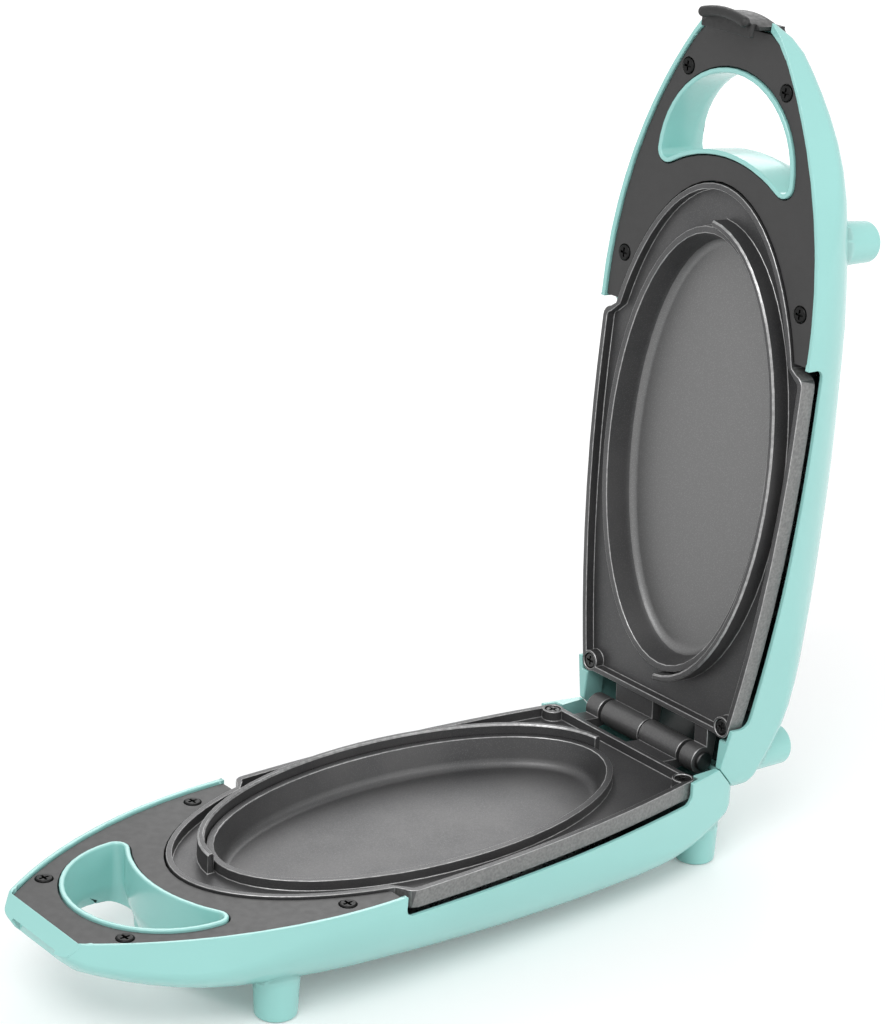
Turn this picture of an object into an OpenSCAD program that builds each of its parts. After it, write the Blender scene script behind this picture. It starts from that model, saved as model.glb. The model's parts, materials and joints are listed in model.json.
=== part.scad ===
// Electric omelette maker, standing open: two alike halves on one hinge, with a latch at the lid's tip.
// Millimetres, +Z up. The origin is on the table, under the middle of the open appliance.
// Each half is drawn in a frame of its own: x runs from the hinge axis to the tip, y across,
// and z from the parting plane down into that half. on_base() and on_lid() put a half in place.

/* [Half outline] */
// Hinge axis to the tip of a half
tip_x = 314; // [306:1:326]
// Hinge axis to the flat face behind it
rear_x = 13; // [11:0.5:16]
// Half the width of a half, at its widest
half_w = 63.6; // [61:0.2:67]
// Distance from the hinge axis at which the sides start to curve in towards the hinge
widest_x = 155; // [140:1:165]
// Distance from the hinge axis at which the sides start to curve in towards the tip
nose_x = 184; // [180:1:188]
// Radius of the sides, seen from above, on the hinge's side
side_r = 680; // [600:10:900]
// Radius of the tip, seen from above
tip_r = 32.1; // [31:0.1:34]
// Radius of the two rear corners, seen from above
corner_r = 6; // [4:0.5:9]

/* [Half depth] */
// Greatest depth of a half, from the parting plane to the outside of the belly
belly_z = 39.5; // [37:0.5:42]
// Distance of that deepest place from the hinge axis
deep_x = 38; // [30:1:50]
// Length and springing depth of the round behind it, towards the hinge
rear_round = [63, 6.6];
// Depth at which the belly's rise runs out
tip_z = 5; // [4:0.25:6]
// How late the belly starts to rise towards the tip
rise_power = 3.9; // [3:0.1:5]
// How blunt the rise ends at the tip
blunt_power = 0.76; // [0.6:0.01:0.9]
// Bevel under the tip: where it ends behind the tip, its depth there and its slope
bevel_back = 4.2; // [3:0.1:5]
bevel_z = 1.2; // [1:0.1:2]
bevel_slope = 1.6; // [1.4:0.1:1.8]
// Width of the rounded lower edge at the hinge end, and from the middle to the nose
edge_w_rear = 18.7; // [15:0.1:22]
edge_w_nose = 31.5; // [26:0.5:34]
// Distances over which that width grows, the height below grows and then shrinks again
edge_w_span = [40, 210];
edge_h_grow = [10, 120];
edge_h_shrink = [205, 270];
// Height of the rounded lower edge as a share of the depth: hinge end, middle and nose
edge_h_rear = 0.3; // [0.25:0.01:0.4]
edge_h_mid = 0.88; // [0.7:0.01:0.9]
edge_h_nose = 0.48; // [0.4:0.01:0.6]
// Thickness of the moulded shell
wall = 2.2; // [1.8:0.1:2.8]
// Distance of every rim from the parting plane
part_gap = 0.2; // [0.15:0.05:0.4]

/* [Rim and ears] */
// Front end of the ears beside the hinge
ear_x = 18.5; // [18:0.5:23]
// Depth of the lowered rim beside the cooking plate
rim_drop = 9.3; // [8.5:0.1:10]
// Place of the step between the lowered rim and the handle's rim
step_x = 178; // [176:0.5:180]
// Thickness of an ear beside the hinge
ear_t = 3; // [2.4:0.1:4]
// Radius of the corners of the lowered rim
step_r = 4; // [2:0.5:5]

/* [Handle] */
// Centre of the handle opening's front arc, behind the tip
grip_back = 66.5; // [64:0.5:69]
// Width of the bar beside the opening, at a half's widest place
grip_in = 23.6; // [22:0.2:27]
// Radius of the opening's two side lobes
lobe_r = 5.5; // [4:0.5:7]
// How far the opening's rear edge bulges past the arc's centre
grip_bulge = 4; // [3:0.5:6]
// Width of the rim around the opening
liner_w = 2; // [1.6:0.1:2.6]
// Depth of the handle panel's face below the parting plane
panel_z = 1.2; // [0.8:0.1:1.6]
// Thickness of the handle panel
panel_t = 2.5; // [2:0.1:3]
// Straight front edge of the base's panel, behind the tip
panel_back = 14; // [12:0.5:17]
// Where the corners of the lid's longer panel start behind the tip
corner_back = 17; // [16:0.5:19]
// Middle of each of those corners: distance behind the tip and from the middle line
panel_corner_back = [12.5, 22.2];
// Gap around the panel
panel_gap = 0.5; // [0.3:0.05:0.6]
// Front pair of panel screws: distance behind the tip and inside the outline
screw_front_off = [30.6, 8.35];
// Rear pair of panel screws: distance in front of the rim's step and inside the outline
screw_rear_off = [21, 9.84];

/* [Cooking plate] */
// Rear edge of the plate
plate_x = 14; // [13:0.5:14.5]
// Gap between the plate's edge and the inside of the shell
plate_gap = 0.6; // [0.4:0.1:1]
// Depth of the plate's skirt
skirt_z = 7.8; // [7.4:0.1:8.4]
// Depth of the moat around the pan
moat_z = 4.5; // [4.2:0.1:4.6]
// Thickness of the casting
cast_t = 2.7; // [2.5:0.1:2.9]
// Width of the lip around the plate
lip_w = 2.5; // [2:0.1:3]
// Rear edge of the rear lip
lip_x = 15; // [14.5:0.25:16]
// Centre of the oval pan
pan_x = 125.7; // [124:0.5:128]
// Half length of the pan at its rim
pan_a = 93.7; // [88:0.5:95]
// From the widest place of a half in to the pan's rim
pan_in = 16.1; // [15:0.1:18]
// Depth of the pan's floor
pan_z = 12.7; // [10:0.1:14]
// Width of the pan's rim
rim_w = 2.9; // [2.5:0.1:3.2]
// Half length of the plate's rounded tongue
tongue_a = 114.5; // [112:0.5:116]
// From the widest place of a half in to the tongue's side
tongue_in = 3.6; // [3:0.1:4.5]
// Height of the sealing rail above the parting plane, groove beside it and its width
rail_z = 4; // [3:0.1:4.1]
rail_gap = 0.8; // [0.7:0.1:1.2]
rail_w = 3; // [2.4:0.1:3.4]
// Distance of the rail's ends from the middle line
rail_end = 2; // [1:0.5:4]
// Place of a plate screw: distance from the plate's rear edge and inside the outline
plate_screw_off = [3.9, 7.33];
// Outer radius of the plate's screw bosses
plate_boss_r = 4.6; // [4.4:0.1:4.8]

/* [Hinge] */
// Radius of the knuckles
knuckle_r = 6; // [5.5:0.1:6.5]
// Radius of the hinge pin
pin_r = 2.5; // [2:0.1:3]
// Radial clearance of the pin in the knuckles
pin_fit = 0.05; // [0.02:0.01:0.08]
// Gap between two neighbouring knuckles
knuckle_gap = 0.8; // [0.6:0.1:1.2]
// Length of a middle knuckle
knuckle_len = 24; // [20:0.5:25]
// Length of an end lug
lug_len = 8; // [6:0.5:8.5]
// Radius of the trough that the hinge turns in
trough_r = 8; // [7.5:0.1:8.5]
// Lid's angle from the closed position, as it stands open
open_angle = 94.9; // [88:0.1:98]
// Gap between the two rear faces when the lid rests open
stop_gap = 0.4; // [0.3:0.05:0.6]

/* [Feet] */
// Parting plane to the underside of the feet
foot_z = 45.5; // [43:0.5:48]
// Radius of a foot at its sole
foot_r = 8.6; // [7:0.1:9]
// Rounded edge around a foot's sole
foot_edge_r = 1.6; // [0.8:0.2:2.4]
// Radius of a foot at its root
foot_root_r = 9.2; // [9:0.1:11]
// Front pair of feet: distance behind the tip and inside the widest place
foot_front_off = [90.1, 21.4];
// Rear pair of feet: distance from the hinge axis and inside the widest place
foot_rear_off = [0.2, 29.7];

/* [Latch and catch] */
// Clearance on either side of the hook in the base's recess
catch_side = 1; // [0.6:0.1:1.2]
// How much the lid's recess is wider than the base's, on either side
recess_side = 1.6; // [1.2:0.1:1.9]
// Depth at which the base's catch edge sits
catch_z = 5.9; // [5.5:0.1:6.4]
// Distance of the catch edge behind the tip
catch_back = 8.9; // [8:0.1:10]
// How far the hook reaches under the catch edge
hook_reach = 2.3; // [1.5:0.1:2.6]
// Clearance between the hook and the catch
hook_gap = 0.3; // [0.25:0.05:0.5]
// Thickness of the hook
hook_t = 2.4; // [2:0.1:2.6]
// Half width of the hook
hook_w = 14.2; // [12:0.2:14.4]
// Gap on either side of the latch
latch_gap = 0.5; // [0.4:0.05:0.8]
// Gap between the latch's flat inner face and the end of the recess
face_gap = 0.4; // [0.3:0.05:0.6]
// Radius of the latch's outer face, seen from above
latch_out_r = 42; // [38:0.5:46]
// How far that face stands in front of the catch edge
latch_out = 5.7; // [5.3:0.1:6.2]
// Radius of the latch's finger bar
bar_r = 2.2; // [2:0.1:2.4]
// How far the bar stands past the hook, and half its length without its round ends
bar_out = 1.7; // [1.4:0.1:1.9]
bar_half = 12; // [10:0.5:13]
// Pivot of the latch: distance behind the catch edge and depth in the lid
pivot_back = 0.5; // [0.3:0.1:0.7]
pivot_z = 6.9; // [6.8:0.1:7]
// Radius of the latch pin
latch_pin_r = 1; // [0.8:0.1:1.1]
// Turns and wire radius of the latch's spring
spring_turns = 4.5; // [2.5:1:5.5]
spring_wire_r = 0.3; // [0.25:0.05:0.35]

/* [Heating and wiring] */
// Radius of the tubular heater
heater_r = 3.2; // [2.8:0.1:3.4]
// Height of a heater end's metal part, and of the terminal above its bush
cold_end = 5; // [4:0.5:5.5]
terminal_h = 9; // [8:0.5:10]
// Thickness of the heat shield
shield_t = 0.8; // [0.5:0.1:1]
// Depth of the heat shield's floor
shield_z = 18.2; // [17.5:0.1:18.6]
// Distance of a shield screw from the pan's centre
shield_screw_dx = 60; // [52:1:64]
// Distance of the earth screw in front of the pan's centre
earth_dx = 38; // [34:1:42]
// Thermostat's radius and height
thermostat_r = 8; // [7:0.25:9]
thermostat_h = 9; // [8:0.5:11]
// Length, width and height of the terminal block
block_size = [16, 26, 8];
// Radius of the cord's passage through its gland
gland_bore_r = 3.2; // [2.8:0.1:3.3]
// Radius of a lead's insulation
lead_r = 1.2; // [0.9:0.1:1.4]
// Lengths over which the base's and the lid's leads bend, at the heater and at the far end
base_lead_bend = [12, 14];
lid_lead_bend = [30, 34];
// Length of a lamp
lamp_h = 7; // [5:0.5:7.5]
// Radius of a lamp lens
lens_r = 4; // [3:0.25:5]

/* [Fasteners] */
// Head radius, head height and shank radius of the panel and plate screws
head_r = 3.3; // [3:0.1:3.4]
head_h = 1.8; // [1.4:0.1:2]
shank_r = 1.5; // [1.3:0.1:1.7]
// Length of a screw below its head
screw_len = 9; // [7:0.5:11]
// Head radius, head height, shank radius and length of the small inner screws
small_head_r = 2.6; // [2.4:0.1:2.8]
small_head_h = 1.4; // [1.2:0.1:1.6]
small_shank_r = 1.18; // [1:0.02:1.18]
small_len = 2.4; // [2:0.1:2.8]
// Radius of the screw bosses in the shell
boss_r = 3.8; // [3.2:0.1:4.2]

/* [Hidden] */
$fn = 48;

mint = [0.6, 0.86, 0.82];
black = [0.2, 0.2, 0.2];
cast = [0.27, 0.27, 0.28];
steel = [0.72, 0.73, 0.75];
ceramic = [0.92, 0.9, 0.84];

// Radius of the sides on the tip's side: both arcs touch the tip circle from the outside
tip_c = tip_x - tip_r;
nose_r = (pow(tip_c - nose_x, 2) + half_w * half_w - tip_r * tip_r) / (2 * (half_w - tip_r));
tip_touch_x = nose_x + nose_r * (tip_c - nose_x) / (nose_r - tip_r);

// Places tied to the tip, the step and the outline
bevel_x = tip_x - bevel_back;
grip_x = tip_x - grip_back;
grip_r = half_w - grip_in;
panel_x = tip_x - panel_back;
panel_corner_x = tip_x - corner_back;
panel_corner = [tip_x - panel_corner_back[0], panel_corner_back[1]];
catch_x = tip_x - catch_back;
pivot_x = catch_x - pivot_back;
latch_reach = catch_x + latch_out;
catch_w = hook_w + catch_side;
recess_w = catch_w + recess_side;
screw_front = [tip_x - screw_front_off[0], nose_at(tip_x - screw_front_off[0]) - screw_front_off[1]];
screw_rear = [step_x + screw_rear_off[0], nose_at(step_x + screw_rear_off[0]) - screw_rear_off[1]];
plate_screw_x = plate_x + plate_screw_off[0];
plate_screw = [plate_screw_x, side_at(plate_screw_x) - plate_screw_off[1]];
foot_front = [tip_x - foot_front_off[0], half_w - foot_front_off[1]];
foot_rear = [foot_rear_off[0], half_w - foot_rear_off[1]];
pan_b = half_w - pan_in;
tongue_b = half_w - tongue_in;

// Where the two halves stand: the feet on the table, the open appliance centred over the origin
part_z = foot_z;
reach_x = catch_x + 1;
sole_z = foot_z - foot_edge_r;
back_x = sole_z * sin(open_angle) - (foot_front[0] + foot_r - foot_edge_r) * cos(open_angle) + foot_edge_r;
hinge_x = (reach_x - back_x) / 2;
half_open = open_angle / 2;

// Grid of the lofts: stations along a half and steps in a rounded edge
station_count = 36;
edge_steps = 7;
oval_steps = 56;
eps = 0.01;
big = 400;

// Knuckle layout across the hinge: one middle knuckle and one lug belong to each casting
knuckle_end = knuckle_gap / 2 + knuckle_len;
lug_start = knuckle_end + 1.9;
lug_end = lug_start + lug_len;
bore_r = pin_r + pin_fit;
pocket_w = side_at(0) - ear_t;

// Pan, rail and heater ovals as half length and half width
rim_out = [pan_a + rim_w, pan_b + rim_w];
rail_in = rim_out + [rail_gap, rail_gap];
rail_out = rail_in + [rail_w, rail_w];
heater_oval = [pan_a + 6.2, pan_b + 5.6];
heater_z = moat_z + cast_t + heater_r + 0.4;
heater_gap_angle = 17;
shield_oval = heater_oval + [heater_r + 0.6, heater_r + 0.6];
shield_screw_x = [pan_x - shield_screw_dx, pan_x + shield_screw_dx];
deck_z = moat_z + cast_t;
pan_under_z = pan_z + cast_t;

// Pivot of the rear arc of the handle opening
lobe_y = grip_r - lobe_r;
bulge_sum = grip_bulge + lobe_r;
grip_rear_dx = (lobe_y * lobe_y - bulge_sum * bulge_sum) / (2 * bulge_sum);
grip_rear_r = grip_rear_dx + grip_bulge;

// Flare of the opening's lower edge: depth, and how much wider the opening is there
grip_flare = [[part_gap, 0], [17, 0], [21, 0.9], [26, 2.8], [belly_z + 2, 8]];

// Slope of the base's tip: from the panel's front edge down to the catch edge
facet_angle = atan2(catch_z - part_gap, catch_x - panel_x - panel_gap);
cavity_front_x = panel_x - 3.2;

// Latch: its wings cover the slope beside the catch, and its finger bar follows its outer face
latch_w = recess_w - latch_gap;
latch_c = latch_reach - latch_out_r;
bar_path_r = latch_out_r - 0.2;
bar_turn = asin(bar_half / bar_path_r);
roof_z = 5;
wing_x = catch_x + 1.1;
wing_z = 6;
hook_x = catch_x - hook_reach;
hook_top_z = catch_z + hook_gap;
bar_z = hook_top_z + hook_t + bar_out;
barrel_r = latch_pin_r + 1.4;
latch_pin_end = recess_w + 1.6;
spring_gap = 4.2;
latch_room_r = barrel_r + 0.4;
plate_corner_r = 5;
spring_r = latch_pin_r + 0.7;
spring_pitch = 2 * spring_wire_r + 0.5;

// Base wiring
gland_z = 20;
gland_r = gland_bore_r + 1.4;
block_x = 62;
thermostat_x = pan_x - 28;
clamp_x = 16;
clamp_y = 8.5;
floor_z = belly_z - wall - 0.05;
lamp_x = [pan_x - 9, pan_x + 9];

// Places of each half

module on_base() {
    translate([hinge_x, 0, part_z]) rotate([0, 180, 0]) children();
}

module on_lid() {
    translate([hinge_x, 0, part_z]) rotate([0, open_angle, 0]) rotate([0, 0, 180]) children();
}

// Points along an arc, from angle a to angle b
function arc(c, r, a, b, n = 8) =
    [for (i = [0:n]) let (t = a + (b - a) * i / n) [c[0] + r * cos(t), c[1] + r * sin(t)]];

// Points along an oval about the pan's centre
function oval(s, a = 0, b = 360, n = oval_steps) =
    [for (i = [0:n - (b - a == 360 ? 1 : 0)]) let (t = a + (b - a) * i / n)
        [pan_x + s[0] * cos(t), s[1] * sin(t)]];

// The same points on the other side of the middle line, in reverse order
function across(p) = [for (i = [len(p) - 1:-1:0]) [p[i][0], -p[i][1]]];

// Half width of the half at x: rear corner, long side, nose and tip circle
function side_at(x) = half_w - side_r + sqrt(side_r * side_r - pow(widest_x - x, 2));
function nose_at(x) = half_w - nose_r + sqrt(nose_r * nose_r - pow(x - nose_x, 2));
function tip_at(x) = sqrt(max(0, tip_r * tip_r - pow(x - tip_c, 2)));
function corner_at(x) =
    side_at(x) - corner_r + sqrt(corner_r * corner_r - pow(corner_r - x - rear_x, 2));
function width_at(x) =
    x > tip_touch_x ? tip_at(x)
    : x > nose_x ? nose_at(x)
    : x > widest_x ? half_w
    : x > corner_r - rear_x ? side_at(x)
    : corner_at(x);

// Depth of the half at x: an elliptic round towards the hinge, a late and blunt rise, a bevel at the tip
function depth_at(x) =
    x > deep_x
    ? min(bevel_z + bevel_slope * max(0, bevel_x - x), tip_z + (belly_z - tip_z)
        * pow(max(0, 1 - pow((x - deep_x) / (tip_x - deep_x), rise_power)), blunt_power))
    : rear_round[1] + (belly_z - rear_round[1]) * sqrt(1 - pow((deep_x - x) / rear_round[0], 2));

// Smooth change from 0 to 1 between two distances
function smooth(x, a, b) = (1 - cos(180 * min(1, max(0, (x - a) / (b - a))))) / 2;

// Width and height of the rounded lower edge at x
function edge_w_at(x) =
    min(edge_w_rear + (edge_w_nose - edge_w_rear) * smooth(x, edge_w_span[0], edge_w_span[1]), width_at(x) / 2);
function edge_h_at(x) = depth_at(x) * (edge_h_rear
    + (edge_h_mid - edge_h_rear) * smooth(x, edge_h_grow[0], edge_h_grow[1])
    + (edge_h_nose - edge_h_mid) * smooth(x, edge_h_shrink[0], edge_h_shrink[1]));

// Cross-section at x, shrunk by an inset, as points from the near rim round the belly to the far rim
function section(x, inset, top, steps) =
    let (
        w = max(width_at(x), 1) - inset,
        d = depth_at(x) - inset,
        a = max(edge_w_at(x) - inset, 0.4),
        b = max(edge_h_at(x) - inset, 0.4),
        half = concat([[x, w, top]],
            [for (i = [0:steps]) let (t = 90 * i / steps) [x, w - a + a * cos(t), d - b + b * sin(t)]])
    )
    concat(half, [for (i = [len(half) - 1:-1:0]) [x, -half[i][1], half[i][2]]]);

// Solid between rings that all have as many points
module loft(rings) {
    n = len(rings[0]);
    last = len(rings) - 1;
    polyhedron(
        points = [for (r = rings) for (p = r) p],
        faces = concat(
            [[for (j = [0:n - 1]) j]],
            [for (i = [0:last - 1]) for (j = [0:n - 1]) let (k = (j + 1) % n)
                each [[i * n + j, (i + 1) * n + j, i * n + k],
                      [i * n + k, (i + 1) * n + j, (i + 1) * n + k]]],
            [[for (j = [n - 1:-1:0]) last * n + j]]
        )
    );
}

// Stations between two distances, closer together towards both ends
function stations(a, b, n) = [for (i = [0:n]) a + (b - a) * (1 - cos(180 * i / n)) / 2];

// Flat outline raised between two depths
module prism(points, z0, z1) {
    translate([0, 0, z0]) linear_extrude(z1 - z0) polygon(points);
}

// Side view outline, in x and depth, carried across the half
module side_prism(points, y0, y1) {
    translate([0, y1, 0]) rotate([90, 0, 0]) linear_extrude(y1 - y0) polygon(points);
}

// Copies on both sides of the middle line
module both_sides() {
    children();
    mirror([0, 1, 0]) children();
}

// Round piece along y
module across_rod(x, z, r, y0, y1) {
    translate([x, y1, z]) rotate([90, 0, 0]) cylinder(r = r, h = y1 - y0);
}

// Outline of the handle opening, grown by d
function grip_outline(d) =
    let (
        out = arc([grip_x, 0], grip_r + d, 0, 90, 12),
        lobe_angle = 180 + atan2(lobe_y, grip_rear_dx),
        lobe = arc([grip_x, lobe_y], lobe_r + d, 90, lobe_angle, 7),
        rear_angle = atan2(lobe_y, grip_rear_dx),
        rear = arc([grip_x - grip_rear_dx, 0], grip_rear_r - d, rear_angle, 0, 6),
        half = concat(out, [for (i = [1:7]) lobe[i]], [for (i = [1:6]) rear[i]])
    )
    concat(half, [for (i = [len(half) - 2:-1:1]) [half[i][0], -half[i][1]]]);

// Column through the handle opening, which widens where it meets the belly
module grip_column(d) {
    loft([for (f = grip_flare) [for (p = grip_outline(d + f[1])) [p[0], p[1], f[0]]]]);
}

// Shell

module shell_solid() {
    loft([for (x = stations(-rear_x, tip_x, station_count)) section(x, 0, part_gap, edge_steps)]);
}

module shell_cavity() {
    loft([for (x = stations(wall - rear_x, cavity_front_x, station_count - 8))
        section(x, wall, -1, edge_steps - 1)]);
}

// Everything on the far side of the slanted rear face, set back by a distance
module behind_stop(back) {
    rotate([0, half_open - 180, 0]) translate([-30, -big / 2, -back]) cube([90, big, 90]);
}

module foot(at) {
    translate([at[0], at[1], 0])
        rotate_extrude($fn = 40)
            polygon(concat(
                [[0, 22], [foot_root_r, 22], [foot_root_r, 30]],
                arc([foot_r - foot_edge_r, foot_z - foot_edge_r], foot_edge_r, 12, 90, 4),
                [[0, foot_z]]));
}

// Room between the ears, open to the inside, that the knuckles of both castings turn in
module hinge_pocket() {
    across_rod(0, 0, trough_r, -pocket_w, pocket_w);
    translate([0, -pocket_w, -1]) cube([plate_x + lip_w, 2 * pocket_w, skirt_z + 1]);
}

module lowered_rim() {
    side_prism(concat(
        [[step_x, -3]], [[ear_x, -3]],
        arc([ear_x + step_r, rim_drop - step_r], step_r, 180, 90, 5),
        arc([step_x - step_r, rim_drop - step_r], step_r, 90, 0, 5)), -big / 2, big / 2);
}

module screw_bosses() {
    for (p = [screw_front, screw_rear])
        translate([p[0], p[1], panel_z + panel_t]) cylinder(r = boss_r, h = belly_z);
    translate([plate_screw[0], plate_screw[1], skirt_z]) cylinder(r = plate_boss_r, h = belly_z);
}

module screw_pilots() {
    for (p = [screw_front, screw_rear])
        translate([p[0], p[1], 0]) cylinder(r = shank_r, h = panel_z + screw_len + 1);
    translate([plate_screw[0], plate_screw[1], 0])
        cylinder(r = shank_r, h = skirt_z + screw_len + 1);
}

// The moulding shared by the base and the lid
module half_shell() {
    difference() {
        union() {
            difference() {
                union() {
                    shell_solid();
                    both_sides() {
                        foot(foot_front);
                        foot(foot_rear);
                    }
                }
                difference() {
                    shell_cavity();
                    behind_stop(wall);
                    both_sides() translate([-rear_x, pocket_w, 0])
                        cube([rear_x + plate_x - 1.2, big, trough_r + wall]);
                }
            }
            intersection() {
                shell_solid();
                union() {
                    grip_column(0);
                    both_sides() screw_bosses();
                }
            }
        }
        grip_column(-liner_w);
        prism(grip_outline(-liner_w), -1, part_gap + eps);
        behind_stop(stop_gap / 2);
        hinge_pocket();
        lowered_rim();
        both_sides() screw_pilots();
    }
}

// Seat of a panel around the opening's rim, and the recess in the tip in front of it
module panel_seat(to_tip) {
    difference() {
        prism(concat(panel_side(0, to_tip), across(panel_side(0, to_tip))), -1, panel_z + panel_t);
        grip_column(0);
    }
}

module tip_recess(w) {
    translate([catch_x, -w, -1]) cube([big, 2 * w, big]);
}

module base_shell() {
    color(mint) on_base() difference() {
        union() {
            half_shell();
            intersection() {
                shell_solid();
                both_sides() translate([clamp_x, clamp_y, 31]) cylinder(r = 3.2, h = belly_z);
            }
        }
        panel_seat(false);
        // Slope from the panel's front edge to the catch edge, and room for the hook under that edge
        translate([panel_x + panel_gap, -big / 2, part_gap]) rotate([0, -facet_angle, 0])
            translate([0, 0, -big]) cube(big);
        tip_recess(catch_w);
        translate([hook_x - hook_gap - 0.1, -catch_w, catch_z]) cube([big, 2 * catch_w, big]);
        // Bore for the gland, pilots for the cord clamp
        translate([-rear_x - 1, 0, gland_z]) rotate([0, 90, 0]) cylinder(r = gland_r + 0.05, h = 6);
        both_sides() translate([clamp_x, clamp_y, 28]) cylinder(r = 1.2, h = 8);
    }
}

module lid_shell() {
    color(mint) on_lid() difference() {
        half_shell();
        panel_seat(true);
        tip_recess(recess_w);
        // Room for the latch's barrel, with its pin bored across the cheeks
        across_rod(pivot_x, pivot_z, latch_room_r, -recess_w, recess_w);
        across_rod(pivot_x, pivot_z, latch_pin_r + 0.02, -latch_pin_end - 0.2, latch_pin_end + 0.2);
        for (x = lamp_x)
            translate([x, 0, floor_z - 5]) cylinder(r = lens_r + 0.05, h = 12);
    }
}

// Handle panel

// Side of a panel: the base's ends square at the slope, the lid's runs on to the latch with cut corners
function panel_side(d, to_tip) =
    let (end_x = to_tip ? panel_corner_x : panel_x + panel_gap - d)
    concat([for (x = stations(step_x + 1, end_x, 12)) [x, width_at(x) - wall - d]],
        to_tip ? [panel_corner - [d, d] / 2, [catch_x - d, recess_w - d]] : []);

module half_panel(to_tip) {
    cut = [tongue_a + panel_gap + 0.2, tongue_b + panel_gap + 0.2];
    cut_angle = acos((step_x + 1 - pan_x) / cut[0]);
    difference() {
        prism(concat(
            panel_side(panel_gap, to_tip), across(panel_side(panel_gap, to_tip)),
            oval(cut, -cut_angle, cut_angle, 22)), panel_z, panel_z + panel_t);
        prism(grip_outline(panel_gap), -1, belly_z);
        both_sides() for (p = [screw_front, screw_rear])
            translate([p[0], p[1], 0]) {
                cylinder(r = shank_r + 0.2, h = belly_z);
                cylinder(r = head_r + 0.3, h = panel_z + 1.3);
            }
    }
}

module base_handle_panel() {
    color(black) on_base() half_panel(false);
}

module lid_handle_panel() {
    color(black) on_lid() half_panel(true);
}

// Cooking plate: the base's and the lid's castings are the same, turned over

// Half width of the plate at x, inside the shell's wall
function plate_side(x, d) = side_at(min(x, widest_x)) - wall - plate_gap - d;

function plate_half(d) =
    let (
        r = plate_corner_r,
        side = [for (x = stations(plate_x + r, step_x - 9, 12)) [x, plate_side(x, d)]],
        rear = arc([plate_x + r, plate_side(plate_x + r, r)], r - d, 180, 96, 5),
        front = arc([step_x - 8, plate_side(step_x - 9, 5)], 5 - d, 90, 10, 4),
        t = acos((step_x - 1 - pan_x) / (tongue_a - d)),
        tongue = oval([tongue_a - d, tongue_b - d], t, 0, 14)
    )
    concat([[plate_x + d, 0]], rear, side, front, tongue);

function plate_outline(d) =
    let (half = plate_half(d))
    concat(half, [for (i = [len(half) - 2:-1:1]) [half[i][0], -half[i][1]]]);

// Pan wall and floor: ovals that draw in, then turn through a fillet into the floor
function pan_ring(inset, z) =
    [for (p = oval([pan_a - inset, pan_b - inset])) [p[0], p[1], z]];

module pan_hollow() {
    fillet = 4;
    foot_in = pan_z - fillet;
    loft(concat(
        [pan_ring(0, -1), pan_ring(0, part_gap)],
        [pan_ring(2.4, foot_in)],
        [for (t = [30:30:90]) pan_ring(2.4 + fillet * (1 - cos(t)), foot_in + fillet * sin(t))]));
}

module pan_underside() {
    loft([pan_ring(-1.2, deck_z - 0.5), pan_ring(0.4, pan_under_z - 4),
          pan_ring(1.8, pan_under_z - 1.2), pan_ring(4.2, pan_under_z)]);
}

// Half ring of the rail, on the plate's far side, with a crest narrower than its root
module rail() {
    a = asin(rail_end / rail_in[1]);
    crest = 0.5;
    function ring(inset, z) =
        concat([for (p = oval(rail_out - [inset, inset], a, 180 - a, 30)) [p[0], p[1], z]],
               [for (p = oval(rail_in + [inset, inset], 180 - a, a, 30)) [p[0], p[1], z]]);
    prism([for (p = ring(0, 0)) [p[0], p[1]]], crest - rail_z, deck_z);
    prism([for (p = ring(crest, 0)) [p[0], p[1]]], -rail_z, crest - rail_z + eps);
}

// Knuckle with the web that joins it to the plate's rear edge
module knuckle(y0, y1) {
    across_rod(0, 0, knuckle_r, y0, y1);
    side_prism([[0, knuckle_r], [plate_x + 1, deck_z], [plate_x + 1, part_gap + 0.6],
                [knuckle_r - 0.4, 1.8], [0, 1.8]], y0, y1);
}

module half_plate() {
    difference() {
        union() {
            difference() {
                prism(plate_outline(0), part_gap, skirt_z);
                prism(plate_outline(lip_w), -1, moat_z);
                prism(plate_outline(cast_t), deck_z, skirt_z + 1);
            }
            prism(oval(rim_out), part_gap, deck_z);
            pan_underside();
            rail();
            both_sides() translate([plate_screw[0], plate_screw[1], part_gap])
                cylinder(r = plate_boss_r, h = skirt_z - part_gap);
            knuckle(-knuckle_end, -knuckle_gap / 2);
            knuckle(lug_start, lug_end);
            for (x = shield_screw_x)
                translate([x, 0, pan_under_z - 1]) cylinder(r = 3.4, h = shield_z - pan_under_z + 1);
            translate([pan_x + tongue_a - 1, -8, moat_z]) cube([7, 16, cast_t]);
        }
        pan_hollow();
        across_rod(0, 0, bore_r, -lug_end - 1, lug_end + 1);
        both_sides() translate([plate_screw[0], plate_screw[1], 0]) {
            cylinder(r = shank_r + 0.25, h = 30, center = true);
            translate([0, 0, -1]) cylinder(r = head_r + 0.25, h = 3.4);
        }
        for (x = shield_screw_x)
            translate([x, 0, pan_under_z + 0.6]) cylinder(r = small_shank_r + 0.02, h = 12);
    }
}

module base_cooking_plate() {
    color(cast) on_base() half_plate();
}

module lid_cooking_plate() {
    color(cast) on_lid() half_plate();
}

// Heating

// Tube swept along the points of an oval, open at the hinge end
module heater_tube() {
    a = 180 - heater_gap_angle;
    sides = 8;
    loft([for (i = [0:36]) let (
        t = -a + 2 * a * i / 36,
        c = [pan_x + heater_oval[0] * cos(t), heater_oval[1] * sin(t)],
        n = [heater_oval[1] * cos(t), heater_oval[0] * sin(t)] / norm([heater_oval[1] * cos(t), heater_oval[0] * sin(t)]))
        [for (j = [0:sides - 1]) let (f = -360 * (j + 0.5) / sides)
            [c[0] + heater_r * cos(f) * n[0], c[1] + heater_r * cos(f) * n[1], heater_z + heater_r * sin(f)]]]);
}

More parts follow.
